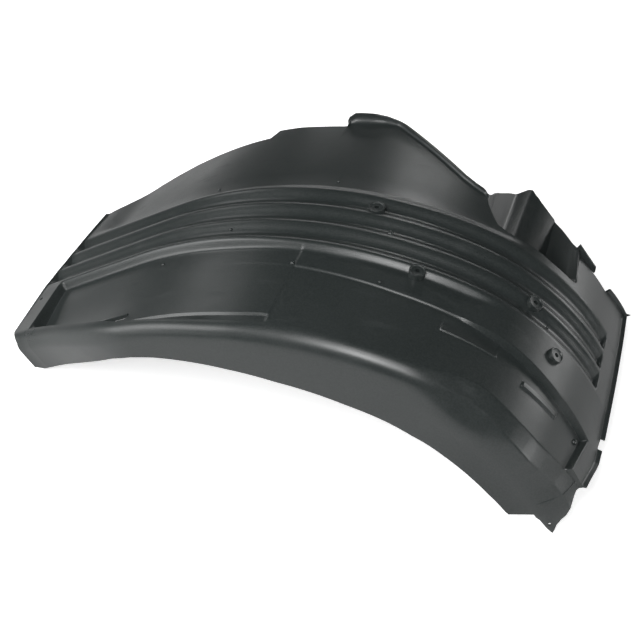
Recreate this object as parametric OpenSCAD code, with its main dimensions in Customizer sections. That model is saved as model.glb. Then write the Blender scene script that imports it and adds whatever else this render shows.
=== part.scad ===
// Truck mudguard: one moulded arch shell with a side skirt, ribs, flanges and fixing bosses.
// The shell is a loft. Stations run along the arch, and at each station a cross-section runs
// from the skirt's lower edge, over the shoulder and the ribs, to the far flange.
// s is the length along the arch from its apex, y the place across it, n the height off it.

/* [Arch] */
// Radius of the long middle arc, at the rib crests
crown_radius = 600; // [540:5:660]
// Radius of the flatter front arc
front_radius = 20000; // [8000:1000:30000]
// Radius of the tighter rear arc
rear_radius = 307; // [280:1:340]
// Arc length from the apex to the front arc
front_arc_start = 409; // [380:1:440]
// Arc length from the apex to the rear arc
rear_arc_start = 116; // [100:1:130]
// Arc length from the apex to the front end
front_end = 613; // [600:1:630]
// Arc length from the apex to the rear end
rear_end = 400; // [396:1:412]
// Turn that stands both ends on level ground
stand_angle = 4.9; // [3:0.1:6]

/* [Section] */
// Wall thickness of the moulding
wall = 3.5; // [2.5:0.25:4.5]
// Distance from the first rib crest to the shoulder
shoulder_offset = 156; // [150:1:162]
// Radius of the shoulder between top and skirt
shoulder_radius = 26; // [20:1:30]
// Depth of the skirt at its deepest, below the crests
skirt_depth = 115.5; // [105:0.5:128]
// Fall of the top for each millimetre away from the first rib
cross_fall = 0.06; // [0:0.01:0.1]

/* [Ribs] */
// Distance between two rib crests
rib_pitch = 41; // [39:0.5:43]
// Height of a rib over the grooves and the panels
rib_height = 8; // [5:0.5:10]

/* [Flanges] */
// Height of the flat strip at the front end, over the rib crests
strip_height = 0.5; // [0:0.5:3]
// Height of the front end flange at its far corner
front_flange_height = 3; // [1:0.5:8]
// Height of the lip around the rear end
rear_lip_height = 6; // [4:0.5:9]
// Width of the turned-up far flange
far_flange_width = 20; // [14:1:24]

/* [Panels] */
// Depth of the front panel below the grooves, at its near corner
front_panel_dip = 6; // [4:1:10]
// Depth of the recess below the panels
recess_depth = 2.5; // [1.5:0.25:4]
// Depth of the side pocket
pocket_depth = 62; // [50:1:70]

/* [Fixings] */
// Diameter of a fixing boss
boss_d = 23; // [20:0.5:26]
// Height of a boss over the rib crests
boss_height = 3; // [1.5:0.5:6]
// Diameter of the bores through the bosses
bore_d = 6.5; // [5.5:0.1:8.5]
// Diameter of the hole in the front strip
strip_hole_d = 6.5; // [5:0.1:8]
// Diameter of the hole in the rear tab
tab_hole_d = 4.5; // [3.5:0.1:5.5]
// Length of the clip slot
clip_slot_length = 54; // [40:1:60]
// Width of the clip slot
clip_slot_width = 6; // [5:0.5:7]
// Height of the bars that stand on the panels
bar_height = 2.5; // [1.5:0.25:4]
// Width of the notch in the rear lip
notch_width = 21; // [12:1:26]
// Diameter of the small round pips
pip_d = 5; // [4:0.5:7]

/* [Hidden] */
$fn = 32;

// Simple shapes of change

function clamp01(t) = min(1, max(0, t));
function ease(t) = let (c = clamp01(t)) c * c * (3 - 2 * c);
function ramp(x, from, to) = ease((x - from) / (to - from));
function mix(a, b, t) = a + (b - a) * t;

// The arch: three tangent arcs, measured from the apex

deg_per_rad = 180 / PI;
front_break = -front_arc_start / crown_radius * deg_per_rad;
rear_break = rear_arc_start / crown_radius * deg_per_rad;

function arch_angle(s) =
    s < -front_arc_start ? front_break + (s + front_arc_start) / front_radius * deg_per_rad
    : s > rear_arc_start ? rear_break + (s - rear_arc_start) / rear_radius * deg_per_rad
    : s / crown_radius * deg_per_rad;

function radial(a, r) = [r * sin(a), r * cos(a)];

crown_centre = [0, -crown_radius];
front_centre = crown_centre + radial(front_break, crown_radius - front_radius);
rear_centre = crown_centre + radial(rear_break, crown_radius - rear_radius);

function arch_xz(s, n) = let (a = arch_angle(s))
    s < -front_arc_start ? front_centre + radial(a, front_radius + n)
    : s > rear_arc_start ? rear_centre + radial(a, rear_radius + n)
    : crown_centre + radial(a, crown_radius + n);

function arch_point(s, y, n) = let (p = arch_xz(s, n)) [p[0], y, p[1]];

// Lines that run along the arch: how far across each one lies at s

last_crest = 3 * rib_pitch;
flank = rib_pitch / 2;
panel_level = -rib_height;
strip_end = -576;
seam_s = -128;
groove_end = 350;
recess_end = 370;
step_run = 3.5;
ledge_start = -400;
ledge_run = 45;
ledge_y = -149;
ledge_widening = 5;
ledge_gap = 14;
narrowing_start = -350;
front_narrowing = 52;
front_shoulder_shift = 4;
rear_widening = 4;
rear_flare = 12;
corner_chamfer = 8;
corner_run = 26;

function skirt_y(s) = -shoulder_offset - shoulder_radius - rear_widening * ramp(s, 60, 300)
    + front_narrowing * ramp(s, narrowing_start, -front_end);
function shoulder_y(s) = skirt_y(s) + shoulder_radius
    - ledge_widening * ramp(s, ledge_start, ledge_start + ledge_run) * ramp(s, seam_s + 20, seam_s - 70)
    - front_shoulder_shift * ramp(s, narrowing_start, -front_end);
function ledge_share(s) = ramp(s, ledge_start, ledge_start + ledge_run) * ramp(s, seam_s + 1, seam_s - 7);
function ledge_line(s) = max(ledge_y, shoulder_y(s) + ledge_gap);
function skirt_flare(s) = rear_flare * ramp(s, 40, 320);
function skirt_share(s) = lookup(s, [
    [-front_end, 0.535], [-560, 0.516], [-520, 0.49], [-480, 0.47], [-400, 0.425], [-360, 0.44],
    [-320, 0.495], [-200, 0.71], [-120, 0.83], [0, 0.938], [120, 1], [200, 0.964], [320, 0.875],
    [385, 0.793], [rear_end, 0.787]]);
function skirt_bottom(s) =
    -skirt_depth * skirt_share(s) + corner_chamfer * clamp01(1 - (front_end + s) / corner_run);
function step_y(s) = -lookup(s, [[seam_s, 42], [20, 50], [110, 52], [210, 62], [290, 74], [rear_end, 80]]);

// The far edge, the width of its flange, and the pocket's depth share and rim along the arch
function far_y(s) = lookup(s, [
    [-front_end, 200], [-587, 217], [-560, 238], [-535, 261.5], [-508, 279], [-471, 296], [-430, 303.5],
    [-322, 308], [-314, 331], [-270, 330], [-228, 326], [-190, 325], [-160, 330], [-140, 331],
    [-120, 335], [-97, 334], [-84, 326], [-7, 268], [40, 233], [60, 222], [80, 214], [99, 181],
    [113, 161], [132, 150], [160, 144], [190, 140], [216, 136], [pocket_to, 134],
    [pocket_to + 2, 200], [300, 194], [rear_lip_from - 2, 190], [rear_lip_from + 2, 197], [rear_end, 214]]);
function flange_width(s) =
    far_flange_width * lookup(s, [[flange_from, 0.6], [-172, 0.9], [-140, 0.85], [-97, 0.4], [80, 0.3]]);
function pocket_share(s) = lookup(s, [
    [84, 0.02], [100, 0.35], [130, 0.85], [160, 1], [242, 1], [249, 0.68], [257, 0.24], [264, 0.02]]);
function pocket_far_y(s) = lookup(s, [
    [84, 227], [117, 279], [150, 323], [160, 329], [169, 322], [190, 312], [217, 303], [241, 296],
    [249, 264], [257, 220], [264, 201]]);

// Heights off the arch

crown_y_radius = 4500;
function crown(y) = y > 0 ? -cross_fall * y - y * y / (2 * crown_y_radius) : 0;
function wave(y) = (1 - cos(360 * y / rib_pitch)) / 2;
function panel(s) = panel_level * ramp(s, 190, 100);
function far_panel(s) = panel(s) * ramp(s, -front_end, -540);
function panel_floor(s, y) = panel_level - 1.5 * recess_depth
    - front_panel_dip * ramp(s, seam_s, -560) * ramp(y, -flank, -110)
    - recess_depth * (y < ledge_line(s) ? 1 : 0) * ledge_share(s);
function near_wall(s, y) = let (foot = ledge_line(s) - step_run / 2)
    clamp01((foot - y) / (foot - shoulder_y(s)));
function front_panel(s, y) = mix(panel_floor(s, y), shoulder_level(s), near_wall(s, y));
strip_run = 7;
function front_flange(y) = mix(strip_height, front_flange_height, clamp01((y + 120) / 320));
function shoulder_level(s) = s > recess_end ? 0
    : mix(panel_level - recess_depth * mix(1, 2, ledge_share(s)), strip_height, ramp(s, -200, -420));

function rib_height_at(s, y) =
    y < 0 ? mix(strip_or_panel(s, y), 0, 1 - wave(y))
    : y > last_crest ? far_panel(s) * (y < last_crest + flank ? wave(y) : 1)
    : panel_level * wave(y) * clamp01((groove_end + step_run - s) / step_run);
function strip_or_panel(s, y) =
    s < strip_end ? strip_height
    : s < seam_s - step_run ? front_panel(s, y)
    : y > step_y(s) - 0.01 || s > recess_end ? panel(s)
    : panel_level - recess_depth;

// Height of the top at s and y, with the flanges that stand on the two ends
function top_height(s, y) =
    s < -front_end + 1 ? crown(y) + front_flange(y)
    : crown(y) + (y < -flank ? strip_or_panel(s, y) : rib_height_at(s, y))
      + (s > rear_end - 1 ? rear_lip_height : 0);

// One section from the skirt's lower edge to the far edge, as [y, n, share of the rear slant]

shoulder_steps = 4;
function skirt_section(s) = let (
        y = skirt_y(s), low = skirt_bottom(s), flare = skirt_flare(s), turn = shoulder_y(s),
        top = shoulder_level(s), round_y = turn - y, round_n = min(round_y, (top - low) * 0.6),
        fold = top - round_n - 0.25 * (top - round_n - low))
    concat(
        [[y - flare, low, 0], [y, fold, 0.6]],
        [for (k = [0:shoulder_steps]) let (a = 90 * k / shoulder_steps)
            [turn - round_y * cos(a), top - round_n + round_n * sin(a), 0.7 + 0.3 * k / shoulder_steps]]);

function panel_section(s) = let (turn = shoulder_y(s), ledge = ledge_line(s), step = step_y(s))
    [for (y = [
            mix(turn, ledge, 0.35), ledge - step_run / 2, ledge + step_run / 2,
            mix(ledge, step, 0.5), step - step_run, step])
        [y, top_height(s, y), 1]];

rib_points = 6;
function rib_section(s) = [for (k = [-rib_points / 2:3 * rib_points])
    let (y = k * rib_pitch / rib_points) [y, top_height(s, y), 1]];

flank_points = 2;
panel_points = 2;
edge_points = 4;
edge_width = 24;
pocket_end_width = 66;
function edge_span(s) =
    s < flange_from ? edge_width : lookup(s, [[pocket_to, pocket_end_width], [rear_lip_from, edge_width]]);
lip_run = 2.5;
flange_tilt = 50;
function flange_rise(t) = [t * cos(flange_tilt * t), t * sin(flange_tilt * t)];
pocket_lead = 12;
function pocket_profile(foot, far, n, depth) = let (lead = min(pocket_lead, (far - foot) * 0.2)) [
    [foot + lead * 0.3, n - depth * 0.06], [foot + lead * 0.7, n - depth * 0.5],
    [foot + lead, n - depth], [far, n - depth]];
flange_from = -181;
pocket_from = 82;
pocket_to = 265;
rear_lip_from = 331;
function edge_lip(s) = s > rear_lip_from ? rear_lip_height : 0;
function far_section(s) = let (
        edge = far_y(s),
        is_flange = s > flange_from && s < pocket_from,
        is_pocket = s > pocket_from && s < pocket_to,
        foot = is_flange || is_pocket ? edge : edge - edge_span(s),
        turn = last_crest + min(flank, (foot - last_crest) / 2),
        n = top_height(s, foot))
    concat(
        [for (k = [1:flank_points]) let (y = mix(last_crest, turn, k / flank_points))
            [y, top_height(s, y), 1]],
        [for (k = [1:panel_points]) let (y = mix(turn, foot, k / panel_points)) [y, top_height(s, y), 1]],
        is_flange ? [for (k = [1:edge_points])
            let (r = flange_rise(k / edge_points) * flange_width(s)) [foot + r[0], n + r[1], 1]]
        : is_pocket ? [for (p = pocket_profile(foot, pocket_far_y(s), n, pocket_depth * pocket_share(s)))
            [p[0], p[1], 1]]
        : concat(
            [for (k = [1:edge_points - 1]) let (y = mix(foot, edge - lip_run, k / (edge_points - 1)))
                [y, top_height(s, y), 1]],
            [[edge, top_height(s, edge) + edge_lip(s), 1]]));

function section(s) = concat(skirt_section(s), panel_section(s), rib_section(s), far_section(s));

// The stations: close pairs where a wall crosses the arch, even steps between

stations = concat(
    [-front_end, -front_end + step_run, -front_end + corner_run, strip_end - 1, strip_end - 1 + strip_run],
    [-520, -470, -425, -375, -322, -314, -274, -230],
    [flange_from - step_run, flange_from + 1, flange_from + 9, seam_s - step_run - 1, seam_s],
    [for (k = [0:5]) -97 + k * 35],
    [for (k = [0:5]) 97 + k * 28.8],
    [249, 257, pocket_to - 0.5, 272, 286, 306, rear_lip_from - 2, rear_lip_from + 2],
    [groove_end, groove_end + step_run],
    [recess_end, recess_end + step_run, 385, rear_end - step_run, rear_end]);

function sorted(list) = len(list) < 2 ? list : let (
        pivot = list[floor(len(list) / 2)])
    concat(
        sorted([for (v = list) if (v < pivot) v]), [pivot], sorted([for (v = list) if (v > pivot) v]));
rows = sorted(stations);
row_count = len(rows);
column_count = len(section(0));

// How far a point moves along the arch: the front end runs back at its near side, the recess ends
// aslant, the rear end is bowed and the pocket's rear wall runs back as it goes out
front_setback = 12;
recess_angle = 0.25;
pocket_slant = 18;
function front_slant(s, y) =
    front_setback * clamp01((-105 - y) / 20) * clamp01((strip_end - s) / (front_end + strip_end));
function recess_slant(y) = -recess_angle * min(shoulder_offset - 60, max(0, -60 - y));
function rear_bow(y) = lookup(y, [
    [-198, -20], [-191, -8], [-186, -2], [-160, -14], [-130, -7], [-117, -3], [-100, 3], [-87, 6],
    [-40, 3.5], [0, -2.5], [120, -1], [160, 0]]);
function rear_share(s) = clamp01((s - recess_end - step_run) / (rear_end - recess_end - step_run));
function slant(s, y, share) =
    front_slant(s, y) + mix(recess_slant(y) * share * ramp(s, 250, 340), rear_bow(y), rear_share(s))
    - pocket_slant * clamp01((y - 125) / 80) * ramp(s, 150, 250) * ramp(s, 330, 290);

function loft_point(s, p) = arch_point(s + slant(s, p[0], p[2]), p[0], p[1]);
outer = [for (s = rows) [for (p = section(s)) loft_point(s, p)]];

function unit(v) = v / max(norm(v), 1e-9);
function quad_normal(i, j) =
    unit(cross(outer[i + 1][j + 1] - outer[i][j], outer[i][j + 1] - outer[i + 1][j]));
function total(list) = [for (v = list) 1] * list;
function beside(k, count) = [max(0, k - 1):min(count - 2, k)];
function vertex_normal(i, j) =
    unit(total([for (a = beside(i, row_count), b = beside(j, column_count)) quad_normal(a, b)]));
inner = [for (i = [0:row_count - 1])
    [for (j = [0:column_count - 1]) outer[i][j] - wall * vertex_normal(i, j)]];

function flat(grid) = [for (row = grid) each row];
shell_points = concat(flat(outer), flat(inner));

function at(i, j) = i * column_count + j;
function quad(a, b, c, d) = [[a, b, c], [a, c, d]];
skin_size = row_count * column_count;
skins = [for (i = [0:row_count - 2], j = [0:column_count - 2]) each concat(
    quad(at(i, j), at(i, j + 1), at(i + 1, j + 1), at(i + 1, j)),
    [for (t = quad(at(i, j), at(i + 1, j), at(i + 1, j + 1), at(i, j + 1)))
        [for (v = t) skin_size + v]])];
function rim(a, b) = quad(a, b, skin_size + b, skin_size + a);
end_rims = [for (j = [0:column_count - 2]) each concat(
    rim(at(0, j + 1), at(0, j)), rim(at(row_count - 1, j), at(row_count - 1, j + 1)))];
side_rims = [for (i = [0:row_count - 2]) each concat(
    rim(at(i, 0), at(i + 1, 0)), rim(at(i + 1, column_count - 1), at(i, column_count - 1)))];

module shell() polyhedron(shell_points, concat(skins, end_rims, side_rims));

// Placing on the arch

overlap = 1;
cut_reach = 3 * wall;
module at_arch(s, y, n = 0) translate(arch_point(s, y, n)) rotate([0, arch_angle(s), 0]) children();

// Round bosses with a shallow dish and a bore

boss_places = [[-56, 100], [36, -10], [203, 37], [256, -25]];
boss_foot = panel_level - wall - overlap;
boss_rim = 2;
dish_depth = 1.5;

module at_bosses() for (p = boss_places) at_arch(p[0], p[1], crown(p[1])) children();
module bosses() at_bosses() translate([0, 0, boss_foot]) cylinder(h = boss_height - boss_foot, d = boss_d);
module boss_bores() at_bosses() {
    translate([0, 0, boss_height - dish_depth])
        cylinder(h = dish_depth + overlap, d = boss_d - 2 * boss_rim);
    translate([0, 0, boss_foot - cut_reach])
        cylinder(h = boss_height - boss_foot + 2 * cut_reach, d = bore_d);
}

// Small round pips

pip_places = [[-257.5, 28.5], [-353, -29], [-6, -43], [237, 21]];
pip_rise = 1.2;
module pips() for (p = pip_places)
    at_arch(p[0], p[1], top_height(p[0], p[1]) - wall / 2) cylinder(h = wall / 2 + pip_rise, d = pip_d);

// Clip slot in the front panel, with a bar along its far side

clip_s = -395;
clip_y = -135;
bar_width = 3;
module at_clip() at_arch(clip_s, clip_y, top_height(clip_s, clip_y)) children();
module clip_bar() at_clip() translate([-clip_slot_length / 2, clip_slot_width / 2, -wall / 2])
    cube([clip_slot_length, bar_width, wall / 2 + bar_height]);
slot_straight = clip_slot_length - clip_slot_width;
module clip_slot() at_clip() linear_extrude(2 * cut_reach, center = true) {
    square([slot_straight, clip_slot_width], center = true);
    for (side = [-1, 1]) translate([side * slot_straight / 2, 0]) circle(d = clip_slot_width);
}

// Bars that follow the rear arc in the recess, as [from s, to s, y, width, height]

recess_level = panel_level - recess_depth;
recess_bars = [[92, 180, -87, 3, 0.6 * bar_height], [226, 306, -102, 5, bar_height]];
module follow_rear(from, to) translate([rear_centre[0], 0, rear_centre[1]])
    rotate([90, 0, 0]) rotate([0, 0, 90 - arch_angle(to)])
        rotate_extrude(angle = arch_angle(to) - arch_angle(from), $fn = 3 * $fn) children();
module bars() for (b = recess_bars) follow_rear(max(b[0], rear_arc_start), b[1])
    translate([rear_radius + recess_level - wall / 2, -b[2] - b[3]]) square([wall / 2 + b[4], b[3]]);

// Hole in the front strip and notch in the rear end

strip_hole_at = [-600, -34];
notch_y = -53;
notch_depth = 4;
strip_hole_level = top_height(strip_hole_at[0], strip_hole_at[1]);
module strip_hole() at_arch(strip_hole_at[0], strip_hole_at[1], strip_hole_level)
    cylinder(h = 2 * cut_reach, d = strip_hole_d, center = true);
module notch() at_arch(rear_end + rear_bow(notch_y), notch_y)
    translate([-notch_depth, -notch_width / 2, -2 * cut_reach])
        cube([4 * notch_depth, notch_width, 4 * cut_reach]);

// Upright flange on the far edge, behind the pocket

edge_flange_at = [268, 200];
edge_flange_turn = -4;
edge_flange_outline = [[-22, -wall], [24, -wall], [24, -1], [18, 5.5], [-26, 11]];
module far_edge_flange() at_arch(edge_flange_at[0], edge_flange_at[1], crown(edge_flange_at[1]))
    rotate([90, 0, edge_flange_turn]) linear_extrude(wall) polygon(edge_flange_outline);

// Tab below the rear end: the shoulder's curve goes on and is cut to an ear with a hole

tab_hole_at = [16, -44.5];
tab_skin = 0.3;
tab_y = skirt_y(rear_end) + tab_skin;
tab_r = shoulder_radius - tab_skin;
tab_outline = [
    [-25, -64], [0, -58.5], [5, -55], [24.5, -49], [33.5, -45], [29.5, -41.5], [22, -37], [15.5, -29.5],
    [12.5, -23], [4.5, -16], [-7, -10.5], [-25, 1]];
tab_steps = 6;
function tab_curve(r) = [for (k = [0:tab_steps]) r * [-sin(90 * k / tab_steps), cos(90 * k / tab_steps)]];
function reversed(list) = [for (k = [len(list) - 1:-1:0]) list[k]];
tab_low = -50;
module tab_section() translate([tab_y + tab_r, -shoulder_radius]) polygon(concat(
    tab_curve(tab_r), [[-tab_r, tab_low], [wall - tab_r, tab_low]], reversed(tab_curve(tab_r - wall))));
tab_back = min([for (p = tab_outline) p[0]]);
tab_tip = max([for (p = tab_outline) p[0]]);
module rear_tab() at_arch(rear_end, 0) intersection() {
    translate([tab_back, 0, 0]) rotate([90, 0, 90])
        linear_extrude(tab_tip - tab_back) tab_section();
    translate([0, tab_y + 2 * tab_r, 0]) rotate([90, 0, 0])
        linear_extrude(3 * tab_r) polygon(tab_outline);
}
module tab_hole() at_arch(rear_end, tab_y) translate([tab_hole_at[0], 0, tab_hole_at[1]])
    rotate([90, 0, 0]) cylinder(h = 4 * wall, d = tab_hole_d, center = true);

// The moulding, stood on its two ends with the origin under the middle of its box

function turned(p) = [p[0] * cos(stand_angle) + p[2] * sin(stand_angle), p[1],
    -p[0] * sin(stand_angle) + p[2] * cos(stand_angle)];
placed = [for (p = shell_points) turned(p)];
low = [for (k = [0:2]) min([for (p = placed) p[k]])];
high = [for (k = [0:2]) max([for (p = placed) p[k]])];

module mudguard() color("#2b2f2f")
    translate([-(low[0] + high[0]) / 2, -(low[1] + high[1]) / 2, -low[2]])
    rotate([0, stand_angle, 0])
    difference() {
        union() {
            shell();
            bosses();
            pips();
            clip_bar();
            bars();
            far_edge_flange();
            rear_tab();
        }
        boss_bores();
        clip_slot();
        strip_hole();
        notch();
        tab_hole();
    }

mudguard();
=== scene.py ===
import math

import bpy
import numpy as np
from mathutils import Matrix, Vector


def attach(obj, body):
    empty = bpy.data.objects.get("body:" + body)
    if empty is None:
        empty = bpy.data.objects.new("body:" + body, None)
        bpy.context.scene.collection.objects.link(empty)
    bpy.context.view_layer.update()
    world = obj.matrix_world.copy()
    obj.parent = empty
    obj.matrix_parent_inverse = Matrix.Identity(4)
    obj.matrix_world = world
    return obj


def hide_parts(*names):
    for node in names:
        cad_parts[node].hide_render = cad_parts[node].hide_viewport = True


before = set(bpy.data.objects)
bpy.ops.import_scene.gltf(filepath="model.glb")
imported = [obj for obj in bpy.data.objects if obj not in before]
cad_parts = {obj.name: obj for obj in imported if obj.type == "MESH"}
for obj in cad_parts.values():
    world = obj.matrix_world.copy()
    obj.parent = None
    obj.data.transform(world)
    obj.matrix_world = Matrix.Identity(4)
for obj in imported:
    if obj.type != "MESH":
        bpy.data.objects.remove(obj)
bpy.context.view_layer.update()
bpy.ops.object.select_all(action="DESELECT")

# The arch, in millimetres from its apex: s along it, y across it, n off it

CROWN_R, FRONT_R, REAR_R = 600.0, 20000.0, 307.0
FRONT_ARC, REAR_ARC = 409.0, 116.0
FRONT_END, REAR_END = 613.0, 400.0
STAND = math.radians(4.9)
MIDDLE = (-117.399, 74.0855, -254.086)
WALL = 3.5
SHOULDER_OFFSET, SHOULDER_R, SKIRT_DEPTH = 156.0, 26.0, 115.5
CROSS_FALL, CROWN_Y_R = 0.06, 4500.0
PITCH, RIB_HEIGHT = 41.0, 8.0
FLANK, LAST_CREST = PITCH / 2, 3 * PITCH
FIRST_FLANK = 13.0
PANEL = -RIB_HEIGHT
STRIP_HEIGHT, FRONT_FLANGE, REAR_LIP, FAR_FLANGE = 0.5, 3.0, 6.0, 19.8
PANEL_DIP, RECESS, POCKET = 6.0, 2.5, 62.0
INSIDE, REAR_SHOULDER, CREST_TRIM = 0.6, -5.0, 0.1
STRIP_END, SEAM, GROOVE_END, RECESS_END, STEP_RUN = -576.0, -128.0, 350.0, 370.0, 3.5
LEDGE_FROM, LEDGE_RUN, LEDGE_Y = -400.0, 45.0, -149.0
FLANGE_FROM, POCKET_FROM, POCKET_TO, LIP_FROM = -181.0, 82.0, 265.0, 331.0


def clamp(t):
    return min(1.0, max(0.0, t))


def ease(t):
    t = clamp(t)
    return t * t * (3 - 2 * t)


def ramp(x, start, end):
    return ease((x - start) / (end - start))


def linear(x, start, end):
    return clamp((x - start) / (end - start))


def mix(a, b, t):
    return a + (b - a) * t


def slope(x, start, end):
    """A straight slope with slightly rounded ends."""
    t = linear(x, start, end)
    return mix(t, ease(t), 0.5)


def lookup(x, table):
    return float(np.interp(x, table[0], table[1]))


def arch_angle(s):
    if s < -FRONT_ARC:
        return -FRONT_ARC / CROWN_R + (s + FRONT_ARC) / FRONT_R
    if s > REAR_ARC:
        return REAR_ARC / CROWN_R + (s - REAR_ARC) / REAR_R
    return s / CROWN_R


def radial(angle, r):
    return np.array((r * math.sin(angle), r * math.cos(angle)))


def arch_point(s, y, n):
    centre = np.array((0.0, -CROWN_R))
    r = CROWN_R
    if s < -FRONT_ARC:
        centre, r = centre + radial(-FRONT_ARC / CROWN_R, CROWN_R - FRONT_R), FRONT_R
    elif s > REAR_ARC:
        centre, r = centre + radial(REAR_ARC / CROWN_R, CROWN_R - REAR_R), REAR_R
    p = centre + radial(arch_angle(s), r + n)
    return (p[0], y, p[1])


def to_frame(p):
    """A point of the arch, in millimetres, in the row frame in metres."""
    x = p[0] * math.cos(STAND) + p[2] * math.sin(STAND)
    z = -p[0] * math.sin(STAND) + p[2] * math.cos(STAND)
    return ((x - MIDDLE[0]) / 1000, (p[1] - MIDDLE[1]) / 1000, (z - MIDDLE[2]) / 1000)


# Lines along the arch

SKIRT_SHARE = (
    (-613, -560, -520, -480, -400, -360, -320, -200, -120, 0, 120, 200, 320, 385, 400),
    (0.535, 0.516, 0.49, 0.47, 0.425, 0.44, 0.495, 0.71, 0.83, 0.938, 1, 0.964, 0.875, 0.793, 0.787),
)
STEP_LINE = ((-128, 20, 110, 210, 290, 400), (42, 50, 52, 62, 74, 80))
FAR_LINE = (
    (-613, -587, -560, -535, -508, -471, -430, -322, -314, -270, -228, -190, -160, -140, -120, -97,
     -84, -7, 40, 60, 80, 99, 113, 132, 160, 190, 216, 265, 267, 300, 329, 333, 400),
    (200, 217, 238, 261.5, 279, 296, 303.5, 308, 331, 330, 326, 325, 330, 331, 335, 334,
     326, 268, 233, 222, 214, 181, 161, 150, 144, 140, 136, 134, 200, 194, 190, 197, 214),
)
FLANGE_SHARE = ((-181, -172, -140, -97, 80), (0.6, 0.9, 0.85, 0.4, 0.3))
POCKET_SHARE = ((84, 100, 130, 160, 242, 249, 257, 264), (0.02, 0.35, 0.85, 1, 1, 0.68, 0.24, 0.02))
POCKET_LINE = (
    (84, 117, 150, 160, 169, 190, 217, 241, 249, 257, 264),
    (227, 279, 323, 329, 322, 312, 303, 296, 264, 220, 201),
)
REAR_BOW = (
    (-198, -191, -186, -160, -130, -117, -100, -87, -40, 0, 120, 160),
    (-20, -8, -2, -14, -7, -3, 3, 6, 3.5, -2.5, -1, 0),
)


def skirt_y(s):
    return (-SHOULDER_OFFSET - SHOULDER_R - 4 * ramp(s, 60, 300)
            + 52 * ramp(s, -350, -FRONT_END))


def shoulder_y(s):
    return (skirt_y(s) + SHOULDER_R
            - 5 * ramp(s, LEDGE_FROM, LEDGE_FROM + LEDGE_RUN) * ramp(s, SEAM + 20, SEAM - 70)
            - 4 * ramp(s, -350, -FRONT_END))


def ledge_share(s):
    return ramp(s, LEDGE_FROM, LEDGE_FROM + LEDGE_RUN) * ramp(s, SEAM + 1, SEAM - 7)


def ledge_line(s):
    return max(LEDGE_Y, shoulder_y(s) + 14)


def skirt_bottom(s):
    return -SKIRT_DEPTH * lookup(s, SKIRT_SHARE) + 8 * clamp(1 - (FRONT_END + s) / 26)


def step_y(s):
    return -lookup(s, STEP_LINE)


def far_y(s):
    return lookup(s, FAR_LINE)


# Heights off the arch


def crown(y):
    return -CROSS_FALL * y - y * y / (2 * CROWN_Y_R) if y > 0 else 0.0


def spread(s):
    """The ribs stand slightly wider at the front than at the rear."""
    return mix(1.032, 1.0, ramp(s, 60, 220))


def wave(y):
    if y < 0:
        return (1 - math.cos(math.pi * max(y, -FIRST_FLANK) / FIRST_FLANK)) / 2
    return (1 - math.cos(2 * math.pi * y / PITCH)) / 2


def panel(s):
    return PANEL * ramp(s, 190, 100)


def far_panel(s):
    return panel(s) * ramp(s, -FRONT_END, -540)


def front_panel(s, y):
    """The front panel's floor, its ledge, and the wall that rises to the shoulder."""
    below = linear(y, ledge_line(s) + STEP_RUN / 2, ledge_line(s) - STEP_RUN / 2)
    above = linear(y, step_y(s) - STEP_RUN, step_y(s))
    at_seam = mix(RECESS - 0.8, 1.2, above)
    floor = (PANEL - mix(at_seam, 1.5 * RECESS, ramp(s, SEAM, -260))
             - PANEL_DIP * ramp(s, SEAM, -560) * ramp(y, -FLANK, -110)
             - RECESS * below * ledge_share(s))
    foot = ledge_line(s) - STEP_RUN / 2
    return mix(floor, shoulder_level(s), slope(y, foot, shoulder_y(s)))


def shoulder_level(s):
    level = PANEL - RECESS * mix(1, 2, ramp(s, LEDGE_FROM, LEDGE_FROM + LEDGE_RUN) * ramp(s, SEAM + 60, SEAM - 90))
    level = mix(level, STRIP_HEIGHT, ramp(s, -200, -420))
    return mix(level, REAR_SHOULDER, ramp(s, RECESS_END - 4, REAR_END))


def near_level(s, y):
    """The height of the strip, the front panel, the recess or the rear panel."""
    rear = mix(PANEL - RECESS, panel(s), slope(y, step_y(s) - STEP_RUN, step_y(s)))
    rear = mix(rear, panel(s), slope(s, RECESS_END, RECESS_END + STEP_RUN))
    level = mix(front_panel(s, y), rear, slope(s, SEAM - 4.5, SEAM))
    return mix(STRIP_HEIGHT, level, slope(s, STRIP_END - 1, STRIP_END + 6))


def rib_level(s, y):
    if y < 0:
        return near_level(s, y) * wave(y) if y > -FLANK else near_level(s, y)
    across = y / spread(s)
    if across > LAST_CREST:
        return far_panel(s) * (wave(across) if across < LAST_CREST + FLANK else 1)
    return PANEL * wave(across) * slope(s, GROOVE_END + STEP_RUN, GROOVE_END)


def top_height(s, y):
    level = rib_level(s, y)
    flange = mix(STRIP_HEIGHT, FRONT_FLANGE, clamp((y + 120) / 320))
    level = mix(level, flange, linear(s, -FRONT_END + STEP_RUN, -FRONT_END))
    level -= CREST_TRIM * ramp(s, -450, -300) * ramp(s, 300, 150)
    return crown(y) + level + REAR_LIP * linear(s, REAR_END - STEP_RUN, REAR_END)


# One section from the skirt's lower edge to the far edge, as (y, n, share of the rear slant)


def rounded(points, radius):
    """Each inner corner of a line becomes three points on a small curve."""
    out = [points[0]]
    for a, p, b in zip(points, points[1:], points[2:]):
        a, p, b = np.array(a), np.array(p), np.array(b)
        to_a, to_b = np.hypot(*(a - p)[:2]), np.hypot(*(b - p)[:2])
        q = p + (a - p) * min(radius / max(to_a, 1e-6), 0.45)
        r = p + (b - p) * min(radius / max(to_b, 1e-6), 0.45)
        out += [tuple(q), tuple((q + 2 * p + r) / 4), tuple(r)]
    return out + [points[-1]]


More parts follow.
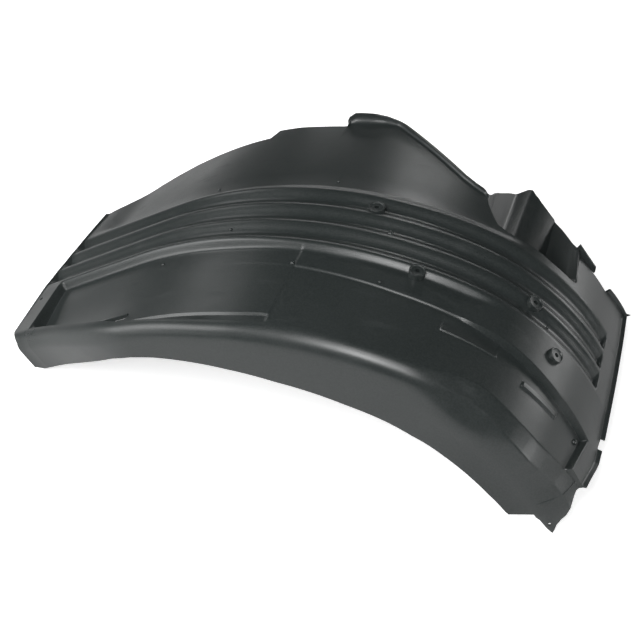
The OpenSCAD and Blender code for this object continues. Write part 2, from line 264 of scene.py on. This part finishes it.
# The rear shoulder, outwards and down from its crease: a flat facet, a crisp fold and a steep band;
# each point as (from skirt, below the top, share of the fold's shift)
FACETS = (
    (-4.0, -45.5, 0.0), (-3.2, -39.5, 0.05), (-2.3, -33.5, 0.2), (-0.6, -23.5, 0.55), (1.1, -14.5, 0.9),
    (1.8, -12.0, 1.0), (2.4, -11.2, 1.0), (3.4, -10.5, 1.0), (8.0, -8.3, 1.0), (15.0, -4.9, 1.0),
    (22.0, -1.7, 1.0), (25.2, -0.3, 1.0), (26.0, 0.0, 1.0),
)
FOLD_SHIFT = ((60, 110, 150, 186, 215, 244, 275, 298, 330, 361, 400), (0, 9, 14, 13, 8.5, 3.5, 0.8, 0, 3, 9, 13))


def faceted(s):
    return ramp(s, 70, 175)


def skirt_section(s):
    y, low, turn, top = skirt_y(s), skirt_bottom(s), shoulder_y(s), shoulder_level(s)
    flare = 12 * ramp(s, 40, 320)
    share = faceted(s)
    round_y = turn - y
    round_n = min(round_y, (top - low) * 0.6)
    fold = top - round_n - 0.25 * (top - round_n - low)
    fold = mix(fold, top - 52, share)
    lower = []
    for k in range(8):
        t = k / 7
        lower.append((y - mix(0, 4.8, share * t) - flare * (1 - t) ** 1.25, mix(low, fold, t), 0.6 * t))
    arc = []
    for k, (out, down, moved) in enumerate(FACETS):
        a = math.pi / 2 * k / 12
        at = (turn - round_y * math.cos(a), top - round_n + round_n * math.sin(a))
        facet = (y + out + moved * lookup(s, FOLD_SHIFT), top + down)
        arc.append((mix(at[0], facet[0], share), mix(at[1], facet[1], share), 0.7 + 0.3 * k / 12))
    return lower + arc


BAR_LINES = (-112, -106, -103.2, -102.4, -101.6, -98, -94, -93.2, -92.4, -89.6, -87.8, -87, -86.2, -83.6)


def panel_lines(s):
    turn, ledge, step = shoulder_y(s), ledge_line(s), step_y(s)
    turn += faceted(s) * lookup(s, FOLD_SHIFT)
    ledge = max(ledge, turn + 9)
    near = [mix(turn, ledge, t) for t in (0.2, 0.45, 0.7)]
    near += [ledge + STEP_RUN * t for t in (-0.7, -0.5, -0.2, 0.2, 0.5, 0.7)]
    low, high = ledge + 5 - 3 * faceted(s), step - STEP_RUN - 3
    even = [mix(low, high, k / (len(BAR_LINES) + 1)) for k in range(1, len(BAR_LINES) + 1)]
    held = ramp(s, 30, 88)
    middle = [mix(e, b, held) for e, b in zip(even, BAR_LINES)]
    wall = [step - STEP_RUN * t for t in (1.5, 1.15, 0.95, 0.5, 0.05)] + [step + 0.6, step + 2]
    lines = near + [low] + middle + wall + [mix(step + 2, -FLANK - 1, t) for t in (0.3, 0.65, 1)]
    for k in range(1, len(lines)):
        lines[k] = max(lines[k], lines[k - 1] + 0.25)
    return lines


RECESS_BARS = ((92.0, 180.0, -87.0, 3.0, 1.5), (226.0, 306.0, -102.2, 9.0, 3.0))


def bar_rise(s, y):
    """The bars that stand in the recess, with rounded ends and flanks."""
    rise = 0.0
    for start, end, near, width, height in RECESS_BARS:
        along = linear(s, start, start + 2.5) * linear(s, end, end - 2.5)
        across = linear(y, near - 0.4, near + 0.5) * linear(y, near + width + 0.5, near + width - 1.2)
        rise += height * along * across
    return rise


def rib_lines(s):
    steps = 13
    near = [-FLANK + 3, -FIRST_FLANK, -11.0, -8.6, -6.4, -4.2]
    return near + [-2.0] + [spread(s) * k * PITCH / steps for k in range(3 * steps + 1)]


def edge_curve(kind, s, samples=12):
    """The last part of a section, from its foot outwards: plain, a flange or a pocket."""
    if kind == "pocket":
        s = min(s, POCKET_TO - 0.5)
        foot, far = far_y(s), lookup(s, POCKET_LINE)
        n, depth = top_height(s, foot), POCKET * lookup(s, POCKET_SHARE)
        lead = min(12, (far - foot) * 0.2)
        corners = [(foot, n), (foot + lead * 0.3, n - depth * 0.06), (foot + lead * 0.7, n - depth * 0.5),
                   (foot + lead, n - depth), (far, n - depth)]
        line = rounded(corners, 3.5)[1:]
        return foot, [line[round(k * (len(line) - 1) / (samples - 1))] for k in range(samples)]
    if kind == "flange":
        foot = far_y(s) - INSIDE
        n, width = top_height(s, foot), FAR_FLANGE * lookup(s, FLANGE_SHARE)
        curve = []
        for k in range(1, samples + 1):
            t = k / samples
            a = math.radians(50 * t)
            curve.append((foot + width * t * math.cos(a), n + width * t * math.sin(a)))
        return foot, curve
    if s > POCKET_FROM:
        s_edge = max(s, POCKET_TO + 7)
        span = mix(66, 24, linear(s, POCKET_TO, LIP_FROM))
    else:
        s_edge, span = s, 24.0
    edge = far_y(s_edge)
    foot = edge - span
    lip = REAR_LIP * linear(s, LIP_FROM - 2, LIP_FROM + 2)
    curve = []
    for k in range(1, samples + 1):
        y = mix(foot, edge - 2.5, k / (samples - 4)) if k <= samples - 4 else mix(
            edge - 2.5, edge, (k - samples + 4) / 4)
        rise = lip * clamp((y - edge + 2.5) / 2.5)
        curve.append((y, top_height(s, y) + rise))
    return foot, curve


KIND_CHANGES = (
    ("plain", "flange", FLANGE_FROM - 3.5, FLANGE_FROM + 1),
    ("flange", "pocket", 78.0, 97.0),
    ("pocket", "plain", POCKET_TO - 0.5, POCKET_TO + 7),
)


def far_section(s):
    kind, other, share = "plain", None, 0.0
    for before, after, start, end in KIND_CHANGES:
        if s >= end:
            kind = after
        elif s > start:
            kind, other, share = before, after, linear(s, start, end)
    foot, curve = edge_curve(kind, s)
    if other:
        foot_b, curve_b = edge_curve(other, s)
        foot = mix(foot, foot_b, share)
        curve = [(mix(a[0], b[0], share), mix(a[1], b[1], share)) for a, b in zip(curve, curve_b)]
    crest = LAST_CREST * spread(s)
    turn = crest + min(FLANK * spread(s), (foot - crest) / 2)
    ys = [mix(crest, turn, k / 7) for k in range(1, 8)]
    ys += [mix(turn, foot, k / 5) for k in range(1, 6)]
    return [(y, top_height(s, y), 1.0) for y in ys] + [(y, n, 1.0) for y, n in curve]


def section(s):
    top = [(y, top_height(s, y) + bar_rise(s, y), 1.0) for y in panel_lines(s) + rib_lines(s)]
    return skirt_section(s) + top + far_section(s)


def slant(s, y, share):
    """How far a point moves along the arch."""
    front = 12 * clamp((-105 - y) / 20) * clamp((STRIP_END - s) / (FRONT_END + STRIP_END))
    recess = -0.25 * min(SHOULDER_OFFSET - 60, max(0, -60 - y)) * share * ramp(s, 250, 340)
    rear = linear(s, RECESS_END + STEP_RUN, REAR_END)
    side = 18 * clamp((y - 125) / 80) * ramp(s, 150, 250) * ramp(s, 330, 290)
    return front + mix(recess, lookup(y, REAR_BOW), rear) - side


def stations():
    """Where the sections stand: even steps, and close ones where a wall crosses the arch."""
    close = (
        (-612.85, -609, 1.0), (-579, -568, 0.9), (-324, -312, 2.0), (-187, -177, 1.2), (-134.5, -126.5, 0.9),
        (78, 98, 2.5), (90, 97, 1.0), (178, 182, 1.0), (224, 230, 1.0), (240, 274, 1.7), (303, 308, 1.0),
        (327, 335, 1.1), (348.6, 355, 0.9), (368.6, 375, 0.9), (394.5, 399.1, 0.8),
    )
    rows = set()
    for start, end, step in close:
        count = max(1, round((end - start) / step))
        rows.update(round(mix(start, end, k / count), 3) for k in range(count + 1))
    for value in np.arange(-613, 400, 4.6):
        if all(value < a - 2 or value > b + 2 for a, b, _ in close):
            rows.add(round(float(value), 3))
    rows.add(REAR_END - 0.08)
    return sorted(rows)


# The shell: a grid laid on the sections, then thickened


def add_shell():
    rows = stations()
    sections = [section(s) for s in rows]
    count_i, count_j = len(rows), len(sections[0])
    bpy.ops.mesh.primitive_grid_add(x_subdivisions=count_i - 1, y_subdivisions=count_j - 1, size=2)
    shell = bpy.context.object
    shell.name = "mudguard_shell"
    mesh = shell.data
    co = np.zeros(len(mesh.vertices) * 3)
    mesh.vertices.foreach_get("co", co)
    co = co.reshape(-1, 3)
    i = np.rint((co[:, 0] + 1) / 2 * (count_i - 1)).astype(int)
    j = np.rint((co[:, 1] + 1) / 2 * (count_j - 1)).astype(int)
    placed = np.zeros((count_i, count_j, 3))
    for a, s in enumerate(rows):
        for b, (y, n, share) in enumerate(sections[a]):
            placed[a, b] = to_frame(arch_point(s + slant(s, y, share), y, n))
    mesh.vertices.foreach_set("co", placed[i, j].ravel())
    mesh.update()
    print("shell grid", count_i, count_j)
    solid = shell.modifiers.new("wall", "SOLIDIFY")
    solid.thickness = WALL / 1000
    solid.offset = -1
    solid.use_even_offset = False
    bpy.ops.object.modifier_apply(modifier="wall")
    return shell


# Small solids that stand on the arch or cut it


def on_arch(piece, s, y, n=0.0, turn=0.0):
    """Puts a piece made at the origin, in metres, on the arch."""
    across = Matrix.Rotation(math.radians(turn), 4, "Z")
    tilt = Matrix.Rotation(arch_angle(s) + STAND, 4, "Y")
    piece.matrix_world = Matrix.Translation(Vector(to_frame(arch_point(s, y, n)))) @ tilt @ across
    bpy.context.view_layer.update()
    bpy.ops.object.select_all(action="DESELECT")
    piece.select_set(True)
    bpy.context.view_layer.objects.active = piece
    bpy.ops.object.transform_apply(location=True, rotation=True, scale=True)
    return piece


def bevelled(piece, width, segments=3, angle=40):
    bevel = piece.modifiers.new("edges", "BEVEL")
    bevel.width = width
    bevel.segments = segments
    bevel.angle_limit = math.radians(angle)
    bpy.ops.object.modifier_apply(modifier="edges")
    return piece


def add_cylinder(name, d, low, high, sides=48, top_d=None):
    bpy.ops.mesh.primitive_cone_add(
        vertices=sides, radius1=d / 2000, radius2=(top_d or d) / 2000, depth=(high - low) / 1000,
        location=(0, 0, (high + low) / 2000))
    piece = bpy.context.object
    piece.name = name
    bpy.ops.object.transform_apply(location=True, rotation=True, scale=True)
    return piece


def add_block(name, low, high):
    bpy.ops.mesh.primitive_cube_add(
        size=1, location=[(a + b) / 2000 for a, b in zip(low, high)],
        scale=[(b - a) / 1000 for a, b in zip(low, high)])
    piece = bpy.context.object
    piece.name = name
    bpy.ops.object.transform_apply(location=True, rotation=True, scale=True)
    return piece


BOSSES = ((-56, 100), (36, -10), (203, 37), (256, -25))
BOSS_D, BOSS_HEIGHT, BOSS_RIM, DISH, BORE_D = 23.0, 2.9, 2.0, 1.5, 6.5


def add_boss(s, y):
    height = BOSS_HEIGHT + 3 * (panel(s) > -1) * (y < 0)
    boss = add_cylinder("boss", BOSS_D, PANEL - WALL - 1, height, 64)
    bpy.ops.object.mode_set(mode="EDIT")
    bpy.ops.mesh.select_mode(type="FACE")
    bpy.ops.mesh.select_all(action="DESELECT")
    bpy.ops.object.mode_set(mode="OBJECT")
    top = max(boss.data.polygons, key=lambda f: f.center.z)
    top.select = True
    bpy.ops.object.mode_set(mode="EDIT")
    bpy.ops.mesh.inset(thickness=BOSS_RIM / 1000, depth=0)
    bpy.ops.mesh.inset(thickness=0.0006, depth=-DISH / 1000)
    bpy.ops.object.mode_set(mode="OBJECT")
    bevelled(boss, 0.0005, 3, 30)
    return on_arch(boss, s, y, crown(y))


def add_bore(s, y):
    return on_arch(add_cylinder("bore", BORE_D, -30, 20, 48), s, y, crown(y))


def combined(pieces, name):
    bpy.ops.object.select_all(action="DESELECT")
    for piece in pieces:
        piece.select_set(True)
    bpy.context.view_layer.objects.active = pieces[0]
    bpy.ops.object.join()
    pieces[0].name = name
    return pieces[0]


def boolean(target, tool, operation):
    bpy.ops.object.select_all(action="DESELECT")
    target.select_set(True)
    bpy.context.view_layer.objects.active = target
    cut = target.modifiers.new("cut", "BOOLEAN")
    cut.operation = operation
    cut.solver = "MANIFOLD"
    cut.object = tool
    bpy.ops.object.modifier_apply(modifier="cut")
    bpy.data.objects.remove(tool, do_unlink=True)


def add_pip(s, y, d=5.0, rise=1.2):
    bpy.ops.mesh.primitive_uv_sphere_add(segments=24, ring_count=12, radius=d / 2000)
    pip = bpy.context.object
    pip.scale = (1, 1, 2 * rise / d)
    return on_arch(pip, s, y, top_height(s, y))


PIPS = ((-257.5, 28.5, 5, 1.2), (-353, -29, 5, 1.2), (-6, -43, 5, 1.4), (237, 21, 5, 1.2), (-343, 156, 4, 0.9),
        (-137, 161, 4, 0.9), (-22, 56, 9, 1.6), (-134, -39.5, 7, 1.5), (352, -96, 9, 1.2))
CLIP_S, CLIP_Y, SLOT_LENGTH, SLOT_WIDTH, BAR_WIDTH, BAR_HEIGHT = -395, -135, 54, 6, 3, 2.5
STRIP_HOLE, STRIP_HOLE_D = (-600, -34), 6.5
NOTCH_Y, NOTCH_WIDTH, NOTCH_DEPTH = -53, 21, 4
FLAP_AT, FLAP_TURN = (268, 200), -4
FLAP_OUTLINE = ((-22, -3.5), (24, -3.5), (24, -1), (18, 5.5), (-26, 11))
TAB_HOLE, TAB_HOLE_D, TAB_SKIN = (16, -44.5), 4.5, 0.7
TAB_OUTLINE = (
    (-25, -64), (0, -58.5), (5, -55), (24.5, -49), (33.4, -45), (29.5, -41.5), (22, -37), (15.5, -29.5),
    (12.5, -23), (4.5, -16), (-7, -10.5), (-25, 1),
)


def upright(piece):
    """Turns a plate made flat on the ground so that its outline stands in the x-z plane."""
    piece.rotation_euler = (math.radians(90), 0, 0)
    bpy.ops.object.transform_apply(location=False, rotation=True, scale=False)
    return piece


def add_plate(name, outline, thickness, centred=False):
    """A flat disc whose corners are put on the outline, thickened upwards."""
    bpy.ops.mesh.primitive_circle_add(vertices=len(outline), radius=1, fill_type="NGON")
    plate = bpy.context.object
    plate.name = name
    area = sum(a[0] * b[1] - b[0] * a[1] for a, b in zip(outline, outline[1:] + outline[:1]))
    order = outline if area > 0 else outline[::-1]
    for vertex, (u, v) in zip(plate.data.vertices, order[::-1]):
        vertex.co = (u / 1000, v / 1000, 0)
    bpy.ops.object.mode_set(mode="EDIT")
    bpy.ops.mesh.select_all(action="SELECT")
    bpy.ops.mesh.normals_make_consistent(inside=False)
    bpy.ops.object.mode_set(mode="OBJECT")
    solid = plate.modifiers.new("thickness", "SOLIDIFY")
    solid.thickness = thickness / 1000
    solid.offset = 0 if centred else 1
    bpy.ops.object.modifier_apply(modifier="thickness")
    return plate


def add_slot():
    slot = add_block("slot", (-SLOT_LENGTH / 2, -SLOT_WIDTH / 2, -12), (SLOT_LENGTH / 2, SLOT_WIDTH / 2, 12))
    bevelled(slot, SLOT_WIDTH / 2000 - 0.0001, 5)
    return on_arch(slot, CLIP_S, CLIP_Y, top_height(CLIP_S, CLIP_Y))


def add_clip_bar():
    low, high = SLOT_WIDTH / 2, SLOT_WIDTH / 2 + BAR_WIDTH
    bar = add_block("clip_bar", (-SLOT_LENGTH / 2, low, -2), (SLOT_LENGTH / 2, high, BAR_HEIGHT))
    bevelled(bar, 0.0007, 2)
    return on_arch(bar, CLIP_S, CLIP_Y, top_height(CLIP_S, CLIP_Y))


def add_strip_hole():
    s, y = STRIP_HOLE
    return on_arch(add_cylinder("strip_hole", STRIP_HOLE_D, -12, 12, 40), s, y, top_height(s, y))


def add_notch():
    notch = add_block("notch", (-NOTCH_DEPTH, -NOTCH_WIDTH / 2, -12), (14, NOTCH_WIDTH / 2, 16))
    bevelled(notch, 0.0015, 3)
    return on_arch(notch, REAR_END + lookup(NOTCH_Y, REAR_BOW), NOTCH_Y)


def add_flap():
    flap = upright(add_plate("flap", FLAP_OUTLINE, WALL))
    bevelled(flap, 0.0007, 2)
    return on_arch(flap, FLAP_AT[0], FLAP_AT[1], crown(FLAP_AT[1]), FLAP_TURN)


def tab_section():
    """The shoulder's section at the rear end, as a closed band of the wall's thickness."""
    outer = np.array([(y, n) for y, n, _ in skirt_section(REAR_END)])
    along = np.gradient(outer, axis=0)
    inwards = np.stack((along[:, 1], -along[:, 0]), axis=1) / np.hypot(along[:, 0], along[:, 1])[:, None]
    band = np.vstack((outer + TAB_SKIN * inwards, (outer + 0.9 * WALL * inwards)[::-1]))
    return [(float(y), float(n)) for y, n in band]


def add_tab():
    """The shoulder goes on past the rear end and is cut to an ear."""
    back, tip = min(p[0] for p in TAB_OUTLINE), max(p[0] for p in TAB_OUTLINE)
    wall = upright(add_plate("tab", tab_section(), tip - back, centred=True))
    wall.rotation_euler = (0, 0, math.radians(90))
    wall.location.x = (tip + back) / 2000
    bpy.ops.object.transform_apply(location=True, rotation=True, scale=False)
    ear = upright(add_plate("ear", TAB_OUTLINE, 120, centred=True))
    ear.location.y = skirt_y(REAR_END) / 1000
    bpy.ops.object.transform_apply(location=True, rotation=False, scale=False)
    boolean(wall, ear, "INTERSECT")
    bevelled(wall, 0.0005, 2)
    return on_arch(wall, REAR_END, 0)


def add_tab_hole():
    hole = add_cylinder("tab_hole", TAB_HOLE_D, -10, 10, 40)
    hole.rotation_euler = (math.radians(90), 0, 0)
    hole.location = (TAB_HOLE[0] / 1000, 0, TAB_HOLE[1] / 1000)
    bpy.ops.object.transform_apply(location=True, rotation=True, scale=False)
    return on_arch(hole, REAR_END, skirt_y(REAR_END) + TAB_SKIN)


def build_mudguard():
    shell = add_shell()
    added = [add_boss(s, y) for s, y in BOSSES] + [add_pip(*pip) for pip in PIPS]
    for piece in added + [add_clip_bar(), add_flap(), add_tab()]:
        boolean(shell, piece, "UNION")
    cuts = [add_bore(s, y) for s, y in BOSSES]
    for piece in cuts + [add_slot(), add_strip_hole(), add_notch(), add_tab_hole()]:
        boolean(shell, piece, "DIFFERENCE")
    return shell


# Stage: camera at the photo's angle, white floor and world, soft studio light

CAMERA_AT = (294.5, -1457.5, 1390.1)
FORWARD, UP = (-0.18, 0.674, -0.716), (-0.282, 0.662, 0.694)
LENS = 84.375


def turned(v):
    return Vector((v[0] * math.cos(STAND) + v[2] * math.sin(STAND), v[1],
                   -v[0] * math.sin(STAND) + v[2] * math.cos(STAND)))


def add_camera():
    at = Vector(to_frame(CAMERA_AT))
    bpy.ops.object.camera_add(location=at)
    camera = bpy.context.object
    forward = turned(FORWARD).normalized()
    right = forward.cross(turned(UP)).normalized()
    up = right.cross(forward)
    camera.matrix_world = Matrix.Translation(at) @ Matrix((right, up, -forward)).transposed().to_4x4()
    camera.data.lens = LENS
    camera.data.sensor_width = 36
    bpy.context.scene.camera = camera


def lamp(name, azimuth, elevation, distance, size, power):
    """A soft box around the object, aimed at its middle."""
    a, e = math.radians(azimuth), math.radians(elevation)
    aim = Vector((0, 0, 0.1))
    at = aim + distance * Vector((math.cos(e) * math.cos(a), math.cos(e) * math.sin(a), math.sin(e)))
    bpy.ops.object.light_add(type="AREA", location=at)
    light = bpy.context.object
    light.name = name
    light.data.shape = "RECTANGLE"
    light.data.size, light.data.size_y = size
    light.data.energy = power
    light.rotation_euler = (aim - at).to_track_quat("-Z", "Y").to_euler()


def camera_white(tree, shader_output, target, strength):
    """Adds white light that only the camera sees to a shader."""
    nodes, links = tree.nodes, tree.links
    path = nodes.new("ShaderNodeLightPath")
    glow = nodes.new("ShaderNodeEmission")
    factor = nodes.new("ShaderNodeMath")
    factor.operation = "MULTIPLY"
    factor.inputs[1].default_value = strength
    links.new(path.outputs["Is Camera Ray"], factor.inputs[0])
    links.new(factor.outputs[0], glow.inputs["Strength"])
    both = nodes.new("ShaderNodeAddShader")
    links.new(shader_output, both.inputs[0])
    links.new(glow.outputs[0], both.inputs[1])
    links.new(both.outputs[0], target)


LAMPS = (
    ("left", -155, 36, 2.0, (0.9, 0.7), 15.0),
    ("high_front", -85, 64, 2.0, (0.9, 0.7), 13.0),
    ("mid_front", -90, 48, 2.0, (0.8, 0.55), 20.0),
    ("low_left", -160, 16, 2.0, (0.8, 0.5), 8.0),
    ("front_low", -135, 14, 2.0, (0.8, 0.5), 3.0),
    ("right_low", -18, 12, 2.0, (0.9, 0.5), 10.0),
    ("right", 42, 8, 2.0, (0.9, 0.4), 5.5),
    ("back_low", 98, 5, 2.0, (1.5, 0.3), 2.8),
    ("back_spot", 94, 26, 2.0, (0.4, 0.2), 2.5),
    ("back_left", 150, 28, 2.0, (0.7, 0.4), 2.5),
)


def add_stage():
    bpy.context.scene.view_settings.view_transform = "Standard"
    world = bpy.data.worlds.new("studio")
    world.use_nodes = True
    bpy.context.scene.world = world
    tree = world.node_tree
    tree.nodes["Background"].inputs["Strength"].default_value = 0.0
    camera_white(tree, tree.nodes["Background"].outputs[0], tree.nodes["World Output"].inputs["Surface"], 1.0)
    bpy.ops.mesh.primitive_plane_add(size=12, location=(0, 0, -0.0005))
    floor = bpy.context.object
    floor.name = "floor"
    material = bpy.data.materials.new("floor")
    material.use_nodes = True
    tree = material.node_tree
    shader = tree.nodes["Principled BSDF"]
    shader.inputs["Base Color"].default_value = (0.93, 0.93, 0.93, 1)
    shader.inputs["Roughness"].default_value = 0.9
    shader.inputs["Specular IOR Level"].default_value = 0.0
    camera_white(tree, shader.outputs[0], tree.nodes["Material Output"].inputs["Surface"], 0.7)
    floor.data.materials.append(material)
    for entry in LAMPS:
        lamp(*entry)


def plastic():
    """Black satin plastic: fine grain, soft waves, uneven sheen and a few scuffs."""
    material = bpy.data.materials.new("black_plastic_detail")
    material.use_nodes = True
    nodes, links = material.node_tree.nodes, material.node_tree.links
    shader = nodes["Principled BSDF"]
    place = nodes.new("ShaderNodeTexCoord").outputs["Object"]

    def noise(scale, detail=3.0, stretch=(1, 1, 1)):
        mapping = nodes.new("ShaderNodeMapping")
        mapping.inputs["Scale"].default_value = stretch
        links.new(place, mapping.inputs["Vector"])
        texture = nodes.new("ShaderNodeTexNoise")
        texture.inputs["Scale"].default_value = scale
        texture.inputs["Detail"].default_value = detail
        links.new(mapping.outputs[0], texture.inputs["Vector"])
        return texture.outputs["Fac"]

    def spread(value, low, high, to_low, to_high):
        node = nodes.new("ShaderNodeMapRange")
        for name, number in (("From Min", low), ("From Max", high), ("To Min", to_low), ("To Max", to_high)):
            node.inputs[name].default_value = number
        links.new(value, node.inputs["Value"])
        return node.outputs[0]

    def maths(kind, a, b):
        node = nodes.new("ShaderNodeMath")
        node.operation = kind
        for socket, value in zip(node.inputs, (a, b)):
            if isinstance(value, float):
                socket.default_value = value
            else:
                links.new(value, socket)
        return node.outputs[0]

    cloud = spread(noise(7.0, 4.0), 0.3, 0.7, 0.0, 1.0)
    speck = spread(noise(420.0, 2.0), 0.35, 0.65, 0.0, 1.0)
    scuff = spread(noise(38.0, 6.0, (0.35, 1.6, 1.0)), 0.6, 0.78, 0.0, 1.0)
    roughness = maths("ADD", spread(cloud, 0.0, 1.0, 0.27, 0.36), maths("MULTIPLY", speck, 0.05))
    links.new(maths("ADD", roughness, maths("MULTIPLY", scuff, 0.10)), shader.inputs["Roughness"])
    tone = nodes.new("ShaderNodeMix")
    tone.data_type = "RGBA"
    tone.inputs["A"].default_value = (0.018, 0.022, 0.0215, 1)
    tone.inputs["B"].default_value = (0.030, 0.035, 0.0345, 1)
    links.new(maths("ADD", maths("MULTIPLY", speck, 0.6), maths("MULTIPLY", scuff, 0.5)), tone.inputs["Factor"])
    links.new(tone.outputs["Result"], shader.inputs["Base Color"])
    height = maths("ADD", maths("MULTIPLY", noise(900.0, 2.0), 0.00005), maths("MULTIPLY", noise(55.0, 2.0), 0.0001))
    bump = nodes.new("ShaderNodeBump")
    bump.inputs["Distance"].default_value = 1.0
    bump.inputs["Strength"].default_value = 0.6
    links.new(height, bump.inputs["Height"])
    links.new(bump.outputs[0], shader.inputs["Normal"])
    return material


add_camera()
add_stage()
mudguard = build_mudguard()
mudguard.name = "mudguard_moulding"
mudguard.data.materials.clear()
mudguard.data.materials.append(plastic())
bpy.ops.object.select_all(action="DESELECT")
mudguard.select_set(True)
bpy.context.view_layer.objects.active = mudguard
bpy.ops.object.shade_smooth_by_angle(angle=math.radians(35))
print("triangles", sum(len(p.vertices) - 2 for p in mudguard.data.polygons))
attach(mudguard, "root")
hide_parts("mudguard")
